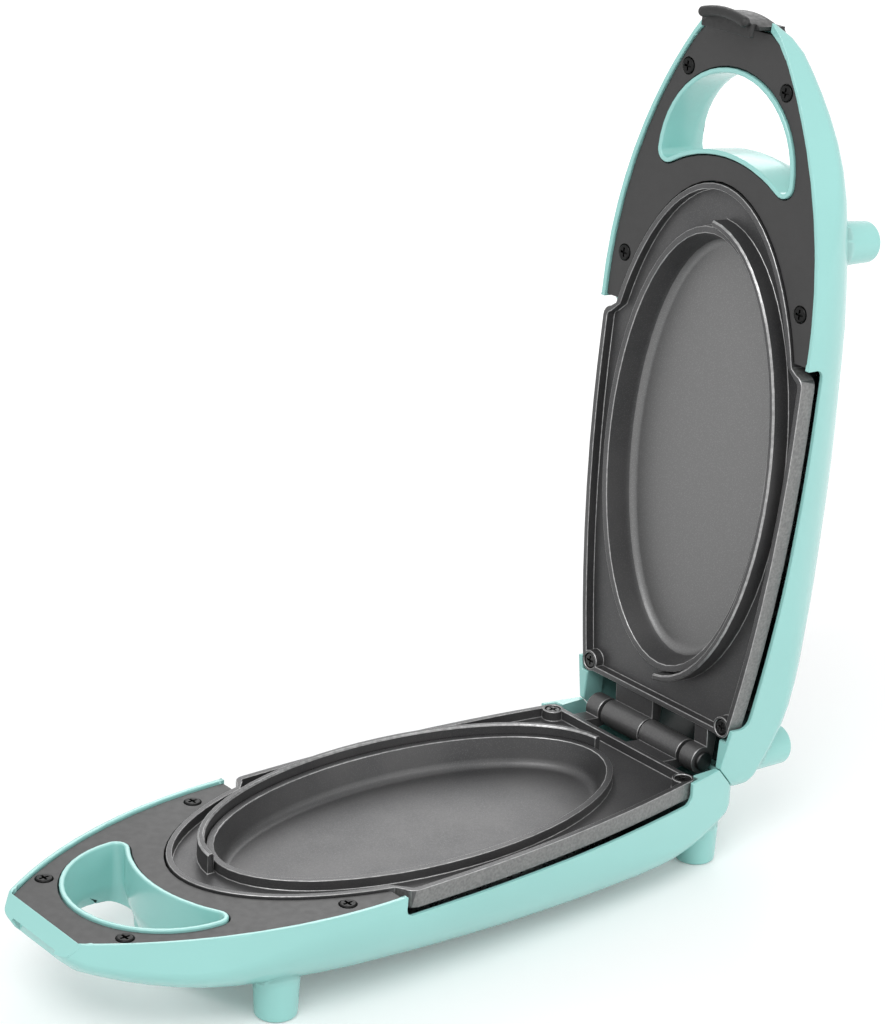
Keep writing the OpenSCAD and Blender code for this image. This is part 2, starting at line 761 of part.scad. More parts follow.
// Place of a heater end
heater_end = [pan_x - heater_oval[0] * cos(heater_gap_angle), heater_oval[1] * sin(heater_gap_angle)];

module half_heater() {
    heater_tube();
    both_sides() translate([heater_end[0], heater_end[1], heater_z]) {
        sphere(r = heater_r + 0.2);
        cylinder(r = heater_r - 0.2, h = cold_end);
    }
}

module base_heating_element() {
    color(steel) on_base() half_heater();
}

module lid_heating_element() {
    color(steel) on_lid() half_heater();
}

module half_terminals() {
    both_sides() translate([heater_end[0], heater_end[1], heater_z + cold_end]) {
        cylinder(r = heater_r - 0.2, h = 3);
        cylinder(r = 0.9, h = terminal_h);
    }
}

module base_element_terminals() {
    color(ceramic) on_base() half_terminals();
}

module lid_element_terminals() {
    color(ceramic) on_lid() half_terminals();
}

module half_shield() {
    difference() {
        prism(oval(shield_oval + [shield_t, shield_t]), skirt_z + 0.2, shield_z + shield_t);
        prism(oval(shield_oval), 0, shield_z);
        for (x = shield_screw_x) translate([x, 0, 0]) cylinder(r = 1.6, h = 40);
        translate([thermostat_x, 0, 0]) cylinder(r = thermostat_r + 1.5, h = 40);
        both_sides() translate([heater_end[0], heater_end[1], 0]) cylinder(r = 3.6, h = 40);
    }
}

module base_heat_shield() {
    color(steel) on_base() half_shield();
}

module lid_heat_shield() {
    color(steel) on_lid() half_shield();
}

// Fasteners

// Screw with a domed head and a cross recess, head at z = 0, shank towards +z
module cross_screw(r, h, shank, length) {
    slot = 0.9;
    difference() {
        union() {
            rotate_extrude($fn = 32) polygon(concat(
                [[0, h]], [[r, h]], arc([r - 0.7, 0.7], 0.7, 0, -90, 4), [[0, 0]]));
            cylinder(r = shank, h = h + length, $fn = 24);
        }
        for (a = [0, 90]) rotate([0, 0, a])
            translate([-r * 0.62, -slot / 2, -1]) cube([r * 1.24, slot, 2]);
    }
}

module half_panel_screws() {
    both_sides() for (p = [screw_front, screw_rear])
        translate([p[0], p[1], panel_z - 0.5]) cross_screw(head_r, head_h, shank_r - 0.02, screw_len - 2);
}

module base_panel_screws() {
    color(black) on_base() half_panel_screws();
}

module lid_panel_screws() {
    color(black) on_lid() half_panel_screws();
}

module half_plate_screws() {
    both_sides() translate([plate_screw[0], plate_screw[1], 2.4 - head_h])
        cross_screw(head_r, head_h, shank_r - 0.02, skirt_z + screw_len - 4);
}

module base_plate_screws() {
    color(black) on_base() half_plate_screws();
}

module lid_plate_screws() {
    color(black) on_lid() half_plate_screws();
}

module half_shield_screws() {
    for (x = shield_screw_x)
        translate([x, 0, shield_z + shield_t + small_head_h]) rotate([180, 0, 0]) {
            cylinder(r = small_head_r, h = small_head_h);
            cylinder(r = small_shank_r, h = small_head_h + small_len);
        }
}

module base_shield_screws() {
    color(steel) on_base() half_shield_screws();
}

module lid_shield_screws() {
    color(steel) on_lid() half_shield_screws();
}

// Controls and wiring

module thermostat() {
    color(black) on_base() translate([thermostat_x, 0, pan_under_z]) {
        cylinder(r = thermostat_r, h = thermostat_h);
        both_sides() translate([-3, 2.5, thermostat_h - 1]) cube([6, 0.8, 5]);
    }
}

module thermal_fuse() {
    color(steel) on_base() translate([pan_x + 22, 0, shield_z + shield_t + 1.95]) {
        across_rod(0, 0, 1.9, -6, 6);
        across_rod(0, 0, 0.5, -14, 14);
    }
}

module terminal_block() {
    color(ceramic) on_base() difference() {
        translate([block_x - block_size[0] / 2, -block_size[1] / 2, floor_z - block_size[2]]) cube(block_size);
        for (y = [-8, 0, 8]) translate([block_x, y, floor_z - block_size[2] - 1]) cylinder(r = 2.2, h = 5);
    }
}

module terminal_screws() {
    color(steel) on_base() for (y = [-8, 0, 8])
        translate([block_x, y, floor_z - block_size[2] + 0.8]) cylinder(r = 2, h = 3.2);
}

// Bush through the rear face, with a collar outside and a lip inside
module cord_gland() {
    color(black) on_base() translate([-rear_x, 0, gland_z]) rotate([0, 90, 0]) difference() {
        union() {
            translate([0, 0, -1.6]) cylinder(r = gland_r, h = wall + 3.4);
            translate([0, 0, -1.6]) cylinder(r = gland_r + 1, h = 1.6);
            translate([0, 0, wall]) cylinder(r = gland_r + 0.4, h = 1.8);
        }
        translate([0, 0, -3]) cylinder(r = gland_bore_r, h = 12);
    }
}

module cord_clamp() {
    color(black) on_base() translate([clamp_x, 0, 0]) difference() {
        translate([-4, -clamp_y - 4, 28.4]) cube([8, 2 * clamp_y + 8, 2.6]);
        both_sides() translate([0, clamp_y, 20]) cylinder(r = 1.6, h = 20);
    }
}

module cord_clamp_screws() {
    color(steel) on_base() both_sides() translate([clamp_x, clamp_y, 26.8]) {
        cylinder(r = 2.4, h = 1.6);
        cylinder(r = 1.18, h = 8);
    }
}

// Lead that follows the smooth curve set by four points, never upright
function curve_at(p, t) =
    pow(1 - t, 3) * p[0] + 3 * t * pow(1 - t, 2) * p[1] + 3 * t * t * (1 - t) * p[2] + pow(t, 3) * p[3];

module lead(p) {
    steps = 12;
    sides = 8;
    loft([for (i = [0:steps]) let (
        t = i / steps,
        d = curve_at(p, t + 0.01) - curve_at(p, t - 0.01),
        n = cross(d, [0, 0, 1]) / norm(cross(d, [0, 0, 1])),
        m = cross(n, d) / norm(d))
        [for (j = [0:sides - 1]) let (f = 360 * j / sides)
            curve_at(p, t) + lead_r * (cos(f) * n - sin(f) * m)]]);
}

lead_from = [heater_end[0], heater_end[1], heater_z + cold_end + terminal_h + 0.1 + lead_r];

module base_leads() {
    last = [block_x - block_size[0] / 2 - 0.3, 8, floor_z - 5];
    color("firebrick") on_base() both_sides()
        lead([lead_from, lead_from + [base_lead_bend[0], -2, 2], last - [base_lead_bend[1], 0, 0], last]);
}

module lid_leads() {
    last = [lamp_x[0] - 2.8, 1.6, floor_z - lamp_h + 1];
    color("firebrick") on_lid() both_sides()
        lead([lead_from, lead_from + [lid_lead_bend[0], -3, 3], last - [lid_lead_bend[1], -3, 0], last]);
}

module earth_screw() {
    translate([pan_x + earth_dx, 0, pan_under_z]) {
        cylinder(r = 3, h = 1);
        cylinder(r = 2.2, h = 2.1);
        translate([0, -2, 0.9]) cube([9, 4, 0.8]);
    }
}

module base_earth_screw() {
    color(steel) on_base() earth_screw();
}

module lid_earth_screw() {
    color(steel) on_lid() earth_screw();
}

module lamp_lenses() {
    color("orangered") on_lid() for (x = lamp_x) translate([x, 0, depth_at(x) - wall]) {
        translate([0, 0, -1]) cylinder(r = lens_r, h = wall + 1.8);
        translate([0, 0, -1.9]) cylinder(r = lens_r + 1.2, h = 1.6);
    }
}

module neon_lamps() {
    color(ceramic) on_lid() for (x = lamp_x)
        translate([x, 0, depth_at(x) - wall - 2.2 - lamp_h]) cylinder(r = 2.2, h = lamp_h);
}

// Hinge pin and latch

module hinge_pin() {
    color(steel) on_base() {
        across_rod(0, 0, pin_r, -lug_end - 0.3, lug_end + 2.2);
        across_rod(0, 0, pin_r + 1.6, -lug_end - 1.8, -lug_end - 0.3);
    }
}

module hinge_pin_clip() {
    color(steel) on_base() difference() {
        across_rod(0, 0, pin_r + 1.6, lug_end + 0.4, lug_end + 1.2);
        across_rod(0, 0, pin_r, lug_end, lug_end + 2);
        translate([pin_r * 0.6, lug_end, -0.9]) cube([6, 3, 1.8]);
    }
}

module latch() {
    face_x = catch_x + face_gap;
    hook_z = hook_top_z + hook_t;
    color(black) on_lid() difference() {
        union() {
            // Body, hook, wings and the ledge that carries the bar, all under one rounded outer face
            intersection() {
                translate([latch_c, 0, -20]) cylinder(r = latch_out_r, h = 50, $fn = 120);
                union() {
                    translate([face_x, -hook_w, -hook_z]) cube([20, 2 * hook_w, hook_z + roof_z]);
                    translate([hook_x, -hook_w, -hook_z]) cube([12, 2 * hook_w, hook_t]);
                    translate([wing_x, -latch_w, -wing_z]) cube([10, 2 * latch_w, wing_z + roof_z]);
                    translate([face_x + 3.4, -bar_half, -bar_z]) cube([10, 2 * bar_half, bar_z]);
                }
            }
            // Arms to the pivot
            both_sides() {
                translate([face_x, spring_gap, roof_z - 2]) cube([2.1, latch_w - spring_gap, 5.2]);
                across_rod(pivot_x, pivot_z, barrel_r, spring_gap, latch_w);
            }
            // Finger bar, bent round the tip, with round ends
            translate([latch_c, 0, -bar_z]) {
                rotate([0, 0, -bar_turn]) rotate_extrude(angle = 2 * bar_turn, $fn = 160)
                    translate([bar_path_r, 0]) circle(r = bar_r, $fn = 32);
                for (a = [-bar_turn, bar_turn])
                    rotate([0, 0, a]) translate([bar_path_r, 0, 0]) sphere(r = bar_r - 0.01);
            }
        }
        across_rod(pivot_x, pivot_z, latch_pin_r + pin_fit, -30, 30);
        across_rod(pivot_x, pivot_z, latch_room_r, -spring_gap, spring_gap);
    }
}

module latch_pin() {
    color(steel) on_lid() across_rod(pivot_x, pivot_z, latch_pin_r, -latch_pin_end, latch_pin_end);
}

// Wound spring round the latch pin: one unbroken wire with a short straight leg at each end
module latch_spring() {
    turn = 360 * spring_turns;
    rings = spring_turns * 8;
    long = spring_turns * spring_pitch;
    leg = 1.3;
    function ring(t, y, z) = [for (j = [0:5]) let (f = 60 * j, r = spring_r + spring_wire_r * cos(f))
        [r * cos(t), y + spring_wire_r * sin(f), r * sin(t) + z]];
    color(steel) on_lid() translate([pivot_x, -long / 2, pivot_z])
        loft(concat([ring(0, 0, -leg)],
            [for (i = [0:rings]) ring(turn * i / rings, long * i / rings, 0)],
            [ring(turn, long, -leg)]));
}

echo(spring_least_gap = spring_pitch - 2 * spring_wire_r);

base_shell();
base_handle_panel();
base_cooking_plate();
base_heating_element();
base_element_terminals();
base_heat_shield();
base_shield_screws();
base_panel_screws();
base_plate_screws();
thermostat();
thermal_fuse();
terminal_block();
terminal_screws();
cord_gland();
cord_clamp();
cord_clamp_screws();
base_leads();
base_earth_screw();
lid_shell();
lid_handle_panel();
lid_cooking_plate();
lid_heating_element();
lid_element_terminals();
lid_heat_shield();
lid_shield_screws();
lid_panel_screws();
lid_plate_screws();
lid_leads();
lid_earth_screw();
lamp_lenses();
neon_lamps();
hinge_pin();
hinge_pin_clip();
latch();
latch_pin();
latch_spring();
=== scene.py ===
import json
import math

import bmesh
import bpy
import numpy as np
from mathutils import Matrix, Vector


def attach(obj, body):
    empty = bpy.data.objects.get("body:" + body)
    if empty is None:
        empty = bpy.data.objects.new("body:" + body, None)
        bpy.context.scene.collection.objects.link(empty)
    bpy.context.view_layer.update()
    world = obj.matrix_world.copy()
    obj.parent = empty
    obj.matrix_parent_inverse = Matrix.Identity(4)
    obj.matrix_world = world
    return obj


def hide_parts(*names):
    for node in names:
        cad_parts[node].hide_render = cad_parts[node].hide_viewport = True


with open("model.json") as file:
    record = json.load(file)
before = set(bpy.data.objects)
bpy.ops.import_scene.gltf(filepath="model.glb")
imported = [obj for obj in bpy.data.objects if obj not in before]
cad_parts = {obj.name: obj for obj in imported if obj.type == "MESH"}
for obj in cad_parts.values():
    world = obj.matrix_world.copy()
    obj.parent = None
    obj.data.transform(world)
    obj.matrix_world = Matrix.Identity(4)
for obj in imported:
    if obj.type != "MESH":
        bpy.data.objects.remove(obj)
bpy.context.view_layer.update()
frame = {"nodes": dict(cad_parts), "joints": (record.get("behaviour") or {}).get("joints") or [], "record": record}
nodes = frame["nodes"]
joints = {joint["name"]: joint for joint in frame["joints"]}
mm = 0.001
tiny = 1e-12    # keeps a division away from zero
white = (1, 1, 1, 1)
lidAngle = -joints["lid_hinge"]["range_deg"][0]    # at rest the lid stands open by its whole travel
print("frame loaded:", len(nodes), "nodes")


# Points of a half in its own frame, in mm: distance from the hinge axis, distance across, depth below the
# rim plane. Base: along = -x, down = -z. Lid and latch: along = (-cos t, 0, sin t) and
# down = (sin t, 0, cos t), with t the angle at which the lid stands open
def inHalf(points, body, turnOnly=False):
    turn = math.radians(lidAngle)
    along, down = (-math.cos(turn), 0, math.sin(turn)), (math.sin(turn), 0, math.cos(turn))
    if body == "base":
        along, down = (-1, 0, 0), (0, 0, -1)
    moved = points if turnOnly else (points - np.array(joints["lid_hinge"]["pos_m"])) / mm
    return moved @ np.array(along), moved[:, 1], moved @ np.array(down)


# A half with the sizes of its CAD source, in mm; rise and blunt are exponents, bevelSlope is a slope and
# edgeHigh gives shares of the depth at the rear, in the middle and at the tip
half = dict(
    tip=314, rear=13, width=63.6, wide=155, nose=184, side=680, tipRadius=32.1, corner=6,
    belly=39.5, deep=38, rearRound=(63, 6.6), tipDepth=5, rise=3.9, blunt=0.76,
    bevelBack=4.2, bevelDepth=1.2, bevelSlope=1.6,
    edgeWide=(18.7, 31.5), wideSpan=(40, 210), leastWidth=1, leastEdge=0.4,
    edgeHigh=(0.3, 0.88, 0.48), growSpan=(10, 120), shrinkSpan=(205, 270),
    wall=2.2, plateGap=0.6, step=178, panMiddle=125.7, pan=(93.7, 47.5))


# smooth = (1 - cos(180 t)) / 2, t running from 0 to 1 over the span
def smooth(x, span):
    return (1 - np.cos(np.pi * np.clip((x - span[0]) / (span[1] - span[0]), 0, 1))) / 2


# Half width: corner, side and nose are circles y = c + sqrt(r^2 - (x - m)^2), and the tip is a circle on
# the middle line. The nose's radius is the one at which it touches the tip's circle
def widthAt(x, s=half):
    middle, drop = s["tip"] - s["tipRadius"], s["width"] - s["tipRadius"]
    noseRadius = ((middle - s["nose"]) ** 2 + s["width"] ** 2 - s["tipRadius"] ** 2) / (2 * drop)
    touch = s["nose"] + noseRadius * (middle - s["nose"]) / (noseRadius - s["tipRadius"])

    def arc(radius, about):
        return np.sqrt(np.maximum(radius ** 2 - (x - about) ** 2, 0))

    side = s["width"] - s["side"] + arc(s["side"], s["wide"])
    nose = s["width"] - noseRadius + arc(noseRadius, s["nose"])
    cornered = side - s["corner"] + arc(s["corner"], s["corner"] - s["rear"])
    return np.select([x > touch, x > s["nose"], x > s["wide"], x > s["corner"] - s["rear"]],
                     [arc(s["tipRadius"], middle), nose, s["width"] + 0 * x, side], cornered)


# Depth: an elliptic round towards the hinge, a power curve towards the tip, cut by the bevel under it
def depthAt(x, s=half):
    way = np.clip((x - s["deep"]) / (s["tip"] - s["deep"]), 0, 1)
    rise = s["tipDepth"] + (s["belly"] - s["tipDepth"]) * (1 - way ** s["rise"]) ** s["blunt"]
    bevel = s["bevelDepth"] + s["bevelSlope"] * np.maximum(0, s["tip"] - s["bevelBack"] - x)
    length, spring = s["rearRound"]
    back = spring + (s["belly"] - spring) * np.sqrt(np.maximum(1 - ((s["deep"] - x) / length) ** 2, 0))
    return np.where(x > s["deep"], np.minimum(bevel, rise), back)


# The outside of a half is where hypot(p, q) = 1, p = max(|y| - (width - a), 0) / a and
# q = max(z - (depth - b), 0) / b, with a and b the width and height of the rounded lower edge
def outside(x, y, z, s=half):
    width, depth = np.maximum(widthAt(x), s["leastWidth"]), depthAt(x)
    low, high, nose = s["edgeHigh"]
    a = s["edgeWide"][0] + (s["edgeWide"][1] - s["edgeWide"][0]) * smooth(x, s["wideSpan"])
    a = np.maximum(np.minimum(a, width / 2), s["leastEdge"])
    grow, shrink = smooth(x, s["growSpan"]), smooth(x, s["shrinkSpan"])
    b = depth * (low + (high - low) * grow + (nose - high) * shrink)
    p = np.maximum(abs(y) - (width - a), 0) / a
    q = np.maximum(z - (depth - b), 0) / np.maximum(b, s["leastEdge"])
    return np.hypot(p, q) - 1, np.minimum(a, b)


# Camera: turned and raised round the hinge, then slid in its own picture plane. Angles in degrees, slides,
# distance and film in mm, focal length and picture height in pixels
camera = dict(azimuth=-38.688, elevation=20.447, roll=2.2, focal=3104.465,
              slideX=-88.329, slideY=94.615, distance=1335.012, pictureHeight=1024, film=36)


def makeCamera(s):
    turn, lift, roll = (math.radians(s[key]) for key in ("azimuth", "elevation", "roll"))
    back = Vector((math.sin(turn) * math.cos(lift), -math.cos(turn) * math.cos(lift), math.sin(lift)))
    side = Vector((math.cos(turn), math.sin(turn), 0))
    rise = back.cross(side)
    across = side * math.cos(roll) + rise * math.sin(roll)
    upward = rise * math.cos(roll) - side * math.sin(roll)
    place = Vector(joints["lid_hinge"]["pos_m"])
    place += (across * s["slideX"] + upward * s["slideY"] + back * s["distance"]) * mm
    data = bpy.data.cameras.new("camera")
    data.sensor_width = s["film"]
    data.lens = s["focal"] / s["pictureHeight"] * s["film"]
    made = bpy.data.objects.new("camera", data)
    bpy.context.scene.collection.objects.link(made)
    columns = Matrix((across, upward, back)).transposed().to_4x4()
    made.matrix_world = Matrix.Translation(place) @ columns
    bpy.context.scene.camera = made
    print("camera placed")


makeCamera(camera)


# A new shader node with its inputs filled: sockets are linked, other values are set
def addNode(tree, kind, **inputs):
    node = tree.nodes.new(kind)
    for key, value in inputs.items():
        socket = node.inputs[key.replace("_", " ")]
        if isinstance(value, bpy.types.NodeSocket):
            tree.links.new(value, socket)
        else:
            socket.default_value = value
    return node


# Two values joined by one operation of a math node
def joinValues(tree, operation, first, second):
    node = tree.nodes.new("ShaderNodeMath")
    node.operation = operation
    tree.links.new(first, node.inputs[0])
    tree.links.new(second, node.inputs[1])
    return node.outputs[0]


# The Mix node has sockets of one name for each kind of data, so those for colours are taken by number
mixSockets = dict(factor=0, first=6, second=7, result=2)


# A principled shader whose colour, roughness and surface come from noise in object space. A noise is given
# as its scale and its detail
class Finish:
    def __init__(self, name, color, **inputs):
        self.material = bpy.data.materials.new(name)
        self.material.use_nodes = True
        self.tree = self.material.node_tree
        self.shader = self.tree.nodes["Principled BSDF"]
        self.color = color
        self.set(Base_Color=(*color, 1), **inputs)
        self.place = self.tree.nodes.new("ShaderNodeTexCoord").outputs["Object"]

    def set(self, **values):
        for key, value in values.items():
            self.shader.inputs[key.replace("_", " ")].default_value = value

    def paint(self, output, socket):
        self.tree.links.new(output, self.shader.inputs[socket])

    def noise(self, scale, detail):
        node = addNode(self.tree, "ShaderNodeTexNoise", Scale=scale, Detail=detail, Vector=self.place)
        return node.outputs["Fac"]

    def specks(self, scale):
        node = addNode(self.tree, "ShaderNodeTexVoronoi", Scale=scale, Vector=self.place)
        return node.outputs["Distance"]

    def attribute(self, name):
        node = self.tree.nodes.new("ShaderNodeAttribute")
        node.attribute_name = name
        return node.outputs["Fac"]

    # From low to high while the source goes from start to end; most of a noise lies within these two
    def spread(self, source, low, high, start=0.35, end=0.65):
        node = addNode(self.tree, "ShaderNodeMapRange", Value=source, From_Min=start, From_Max=end,
                       To_Min=low, To_Max=high)
        return node.outputs["Result"]

    # From the first colour at factor 0 to the second at factor 1
    def blend(self, factor, first, second):
        node = self.tree.nodes.new("ShaderNodeMix")
        node.data_type = "RGBA"
        for key, value in (("first", first), ("second", second)):
            socket = node.inputs[mixSockets[key]]
            if isinstance(value, tuple):
                socket.default_value = (*value, 1)
            else:
                self.tree.links.new(value, socket)
        self.tree.links.new(factor, node.inputs[mixSockets["factor"]])
        return node.outputs[mixSockets["result"]]

    def clouds(self, noise, first, second):
        return self.blend(self.spread(self.noise(*noise), 0, 1), first, second)

    # The finish's own colour, darker and lighter by an amount
    def mottle(self, noise, amount):
        low = tuple(c * (1 - amount) for c in self.color)
        high = tuple(min(1, c * (1 + amount)) for c in self.color)
        self.paint(self.clouds(noise, low, high), "Base Color")

    # Roughness from one noise and a fine relief from another, its depth in mm
    def surface(self, s):
        self.paint(self.spread(self.noise(*s["haze"]), *s["roughness"]), "Roughness")
        height = self.noise(*s["grain"])
        bump = addNode(self.tree, "ShaderNodeBump", Distance=s["depth"] * mm, Height=height)
        self.paint(bump.outputs["Normal"], "Normal")


# The mint mouldings: slightly cloudy, with painted shade, a near-black colour, inside where the mark says so
mint = dict(
    color=(0.3, 0.61, 0.575),
    inputs=dict(Roughness=0.24, Specular_IOR_Level=0.5, Coat_Weight=0.25, Coat_Roughness=0.12),
    pale=((14, 2), (0.293, 0.597, 0.562), (0.307, 0.624, 0.588)), inner=(0.03, 0.052, 0.05),
    haze=(60, 2), roughness=(0.19, 0.25), grain=(900, 1), depth=0.01)


def glossMint(s):
    made = Finish("mint gloss", s["color"], **s["inputs"])
    pale = made.clouds(*s["pale"])
    # painted shade: faces marked inside take the near-black colour instead of the mint
    made.paint(made.blend(made.attribute("inner"), pale, s["inner"]), "Base Color")
    made.surface(s)
    return made.material


# The castings: a flecked dark coat, painted light on the pans' floors as a paler coat, and bare metal by the marks
casting = dict(
    color=(0.13, 0.13, 0.13), inputs=dict(Roughness=0.42, Metallic=0.6, Specular_IOR_Level=0.6),
    specks=1500, speckSpan=(0.1, 0.4), fleck=(0.12, 0.12, 0.12),
    coat=((30, 2), (0.075, 0.075, 0.077), (0.1, 0.099, 0.1)),
    # floor: the two colours of the painted light on the pans' floors
    floor=((0.185, 0.185, 0.185), (0.25, 0.25, 0.25)),
    bare=((900, 3), (0.17, 0.17, 0.17), (0.24, 0.24, 0.235)),
    haze=(1300, 3), roughness=(0.4, 0.48), grain=(2400, 3), depth=0.03)


def coatedCasting(s):
    made = Finish("coated casting", s["color"], **s["inputs"])
    fleck = made.spread(made.specks(s["specks"]), 1, 0, *s["speckSpan"])
    coat = made.blend(fleck, made.clouds(*s["coat"]), s["fleck"])
    # painted light: a paler flecked coat for the pans' floors
    floor = made.blend(fleck, *s["floor"])
    bare = made.clouds(*s["bare"])
    coat = made.blend(made.attribute("panFloor"), coat, floor)
    made.paint(made.blend(made.attribute("bareMetal"), coat, bare), "Base Color")
    made.surface(s)
    return made.material


def mottled(name, s):
    made = Finish(name, s["color"], **s["inputs"])
    made.mottle(*s["mottle"])
    made.surface(s)
    return made.material


mattBlack = dict(
    color=(0.018, 0.0175, 0.0175), inputs=dict(Roughness=0.46, Specular_IOR_Level=0.62),
    mottle=((40, 2), 0.08), haze=(300, 3), roughness=(0.44, 0.49), grain=(2600, 3), depth=0.015)
# The castings' rounded edges: lighter metal, partly rubbed bare and partly a painted highlight on every edge
rubbedAndHighlightEdge = dict(
    color=(0.36, 0.36, 0.36), inputs=dict(Roughness=0.34, Metallic=0.8),
    mottle=((500, 2), 0.2), haze=(900, 3), roughness=(0.28, 0.44), grain=(1500, 3), depth=0.03)


def metal(name, color, roughness, grain=400):
    return mottled(name, dict(
        color=color, inputs=dict(Roughness=roughness, Metallic=1.0),
        mottle=((grain, 2), 0.1), haze=(grain * 2, 3), roughness=(roughness - 0.06, roughness + 0.08),
        grain=(grain * 3, 2), depth=0.01))


def moulding(name, color, roughness, grain=300, amount=0.06):
    return mottled(name, dict(
        color=color, inputs=dict(Roughness=roughness),
        mottle=((grain / 4, 2), amount), haze=(grain, 3), roughness=(roughness - 0.05, roughness + 0.06),
        grain=(grain * 4, 2), depth=0.02))


finishes = {
    "shell": glossMint(mint),
    "handle_panel": mottled("matt black", mattBlack),
    "cooking_plate": coatedCasting(casting),
    "heating_element": metal("tinted sheath", (0.3, 0.27, 0.24), roughness=0.42),
    "element_terminals": moulding("terminal ceramic", (0.78, 0.75, 0.68), roughness=0.55),
    "heat_shield": metal("pressed sheet", (0.62, 0.63, 0.65), roughness=0.28, grain=120),
    "shield_screws": metal("zinc plating", (0.58, 0.59, 0.6), roughness=0.34),
    "panel_screws": metal("blackened screws", (0.022, 0.022, 0.022), roughness=0.4, grain=600),
    "plate_screws": metal("dull steel screws", (0.06, 0.06, 0.06), roughness=0.36, grain=600),
    "leads": moulding("braided sleeve", (0.62, 0.58, 0.5), roughness=0.8, grain=900, amount=0.2),
    "thermostat": moulding("thermostat body", (0.8, 0.78, 0.72), roughness=0.5),
    "terminal_block": moulding("terminal block", (0.84, 0.83, 0.78), roughness=0.45),
    "terminal_screws": metal("turned brass", (0.6, 0.42, 0.16), roughness=0.3),
    "cord_gland": moulding("black bush", (0.02, 0.02, 0.021), roughness=0.6),
    "lamp_lenses": moulding("amber lens", (0.55, 0.09, 0.02), roughness=0.15),
    "neon_lamps": moulding("lamp glass", (0.75, 0.62, 0.5), roughness=0.1),
    "hinge_pin": metal("dark pin", (0.1, 0.1, 0.1), roughness=0.38, grain=500),
    "latch": moulding("dark latch", (0.013, 0.013, 0.013), roughness=0.52, grain=500, amount=0.1),
}
also = {"earth_screw": "shield_screws", "thermal_fuse": "shield_screws", "cord_clamp": "cord_gland",
        "cord_clamp_screws": "shield_screws", "hinge_pin_clip": "hinge_pin", "latch_pin": "hinge_pin",
        "latch_spring": "shield_screws"}
print("finishes made:", len(finishes))


def plainName(name):
    return name.replace("base_", "").replace("lid_", "")


def finishOf(name):
    plain = plainName(name)
    return finishes[also.get(plain, plain)]


def bodyOf(name):
    for body, held in frame["record"]["behaviour"]["bodies"].items():
        if name in held:
            return body


# One value, or a row of them, for each item of a mesh
def read(items, key, width=1, kind=float):
    values = np.empty(len(items) * width, kind)
    items.foreach_get(key, values)
    return values.reshape(-1, width) if width > 1 else values


# The same for whole numbers
def readWhole(items, key, width=1):
    return read(items, key, width, np.int32)


# Centres and normals of the faces in the half's own frame
def facesOf(mesh, body):
    centre, normal = read(mesh.polygons, "center", 3), read(mesh.polygons, "normal", 3)
    return inHalf(centre, body), inHalf(normal, body, True)


def cornerPlaces(mesh):
    return read(mesh.vertices, "co", 3)[readWhole(mesh.loops, "vertex_index")]


def mark(mesh, name, value):
    mesh.attributes.new(name, "FLOAT", "FACE").data.foreach_set("value", value.astype(np.float32))


# A plate shows its metal on its skirt, where that stands upright at the shell's outline less the wall and
# the gap, and on the skirt's front beside the step. Within a knuckle's radius of the axis it shows less.
# The pan's floor gets painted light, a paler coat: faces that look out of the pan from below a set depth,
# inside its oval. The base's floor, lit less, takes a small share of that painted light
plateMarks = dict(skirt=(0.3, 8.2), upright=0.35, margin=0.7, front=12, facing=0.5, side=40,
                  knuckle=7, onKnuckle=0.25, floor=9, lookingOut=0.6, paleBase=0.1)


def markPlate(mesh, body, s):
    (along, across, down), (faceAlong, faceAcross, faceDown) = facesOf(mesh, body)
    upright = (abs(faceDown) < s["upright"]) & (down > s["skirt"][0]) & (down < s["skirt"][1])
    edge = widthAt(np.minimum(along, half["wide"])) - half["wall"] - half["plateGap"]
    skirt = upright & (abs(across) > edge - s["margin"]) & (faceAcross * across > 0)
    nearStep = (along > half["step"] - s["front"]) & (along < half["step"]) & (abs(across) > s["side"])
    front = upright & (faceAlong > s["facing"]) & nearStep
    knuckle = np.hypot(along, down) < s["knuckle"]
    mark(mesh, "bareMetal", np.where(skirt | front, 1.0, np.where(knuckle, s["onKnuckle"], 0.0)))
    oval = np.hypot((along - half["panMiddle"]) / half["pan"][0], across / half["pan"][1])
    # faces of the pan's floor that get painted light
    floor = (down > s["floor"]) & (oval < 1) & (faceDown < -s["lookingOut"])
    share = s["paleBase"] if body == "base" else 1.0
    mark(mesh, "panFloor", share * floor)


# A face is inside a shell when all its corners lie under the skin, away from the outline and from the
# opening; the ears beside the hinge don't count as inside. Inside faces get painted shade, standing in for
# the dark that falls in the shell's hollow
shellShadeMarks = dict(skin=1.0, side=1.9, end=196, ear=42, earEnd=18, down=0.6)


def markShellShade(mesh, body, s):
    along, across, down = inHalf(cornerPlaces(mesh), body)
    level, least = outside(along, across, down)
    deep = (level * least < -s["skin"]) & (down > s["down"])
    within = (abs(across) < widthAt(along) - s["side"]) & (along < s["end"])
    ear = (abs(across) > s["ear"]) & (along < s["earEnd"])
    # the faces that get painted shade
    shadeMask = (deep & within & ~ear).astype(float)
    mark(mesh, "inner", np.minimum.reduceat(shadeMask, readWhole(mesh.polygons, "loop_start")))


# Corner normals of a finished shell: where a corner lies on the outside, and its face or its own normal
# looks the same way as the formula's gradient, that gradient is the normal; other corners keep their own
rounding = dict(reach=0.5, near=0.6, agree=0.9)


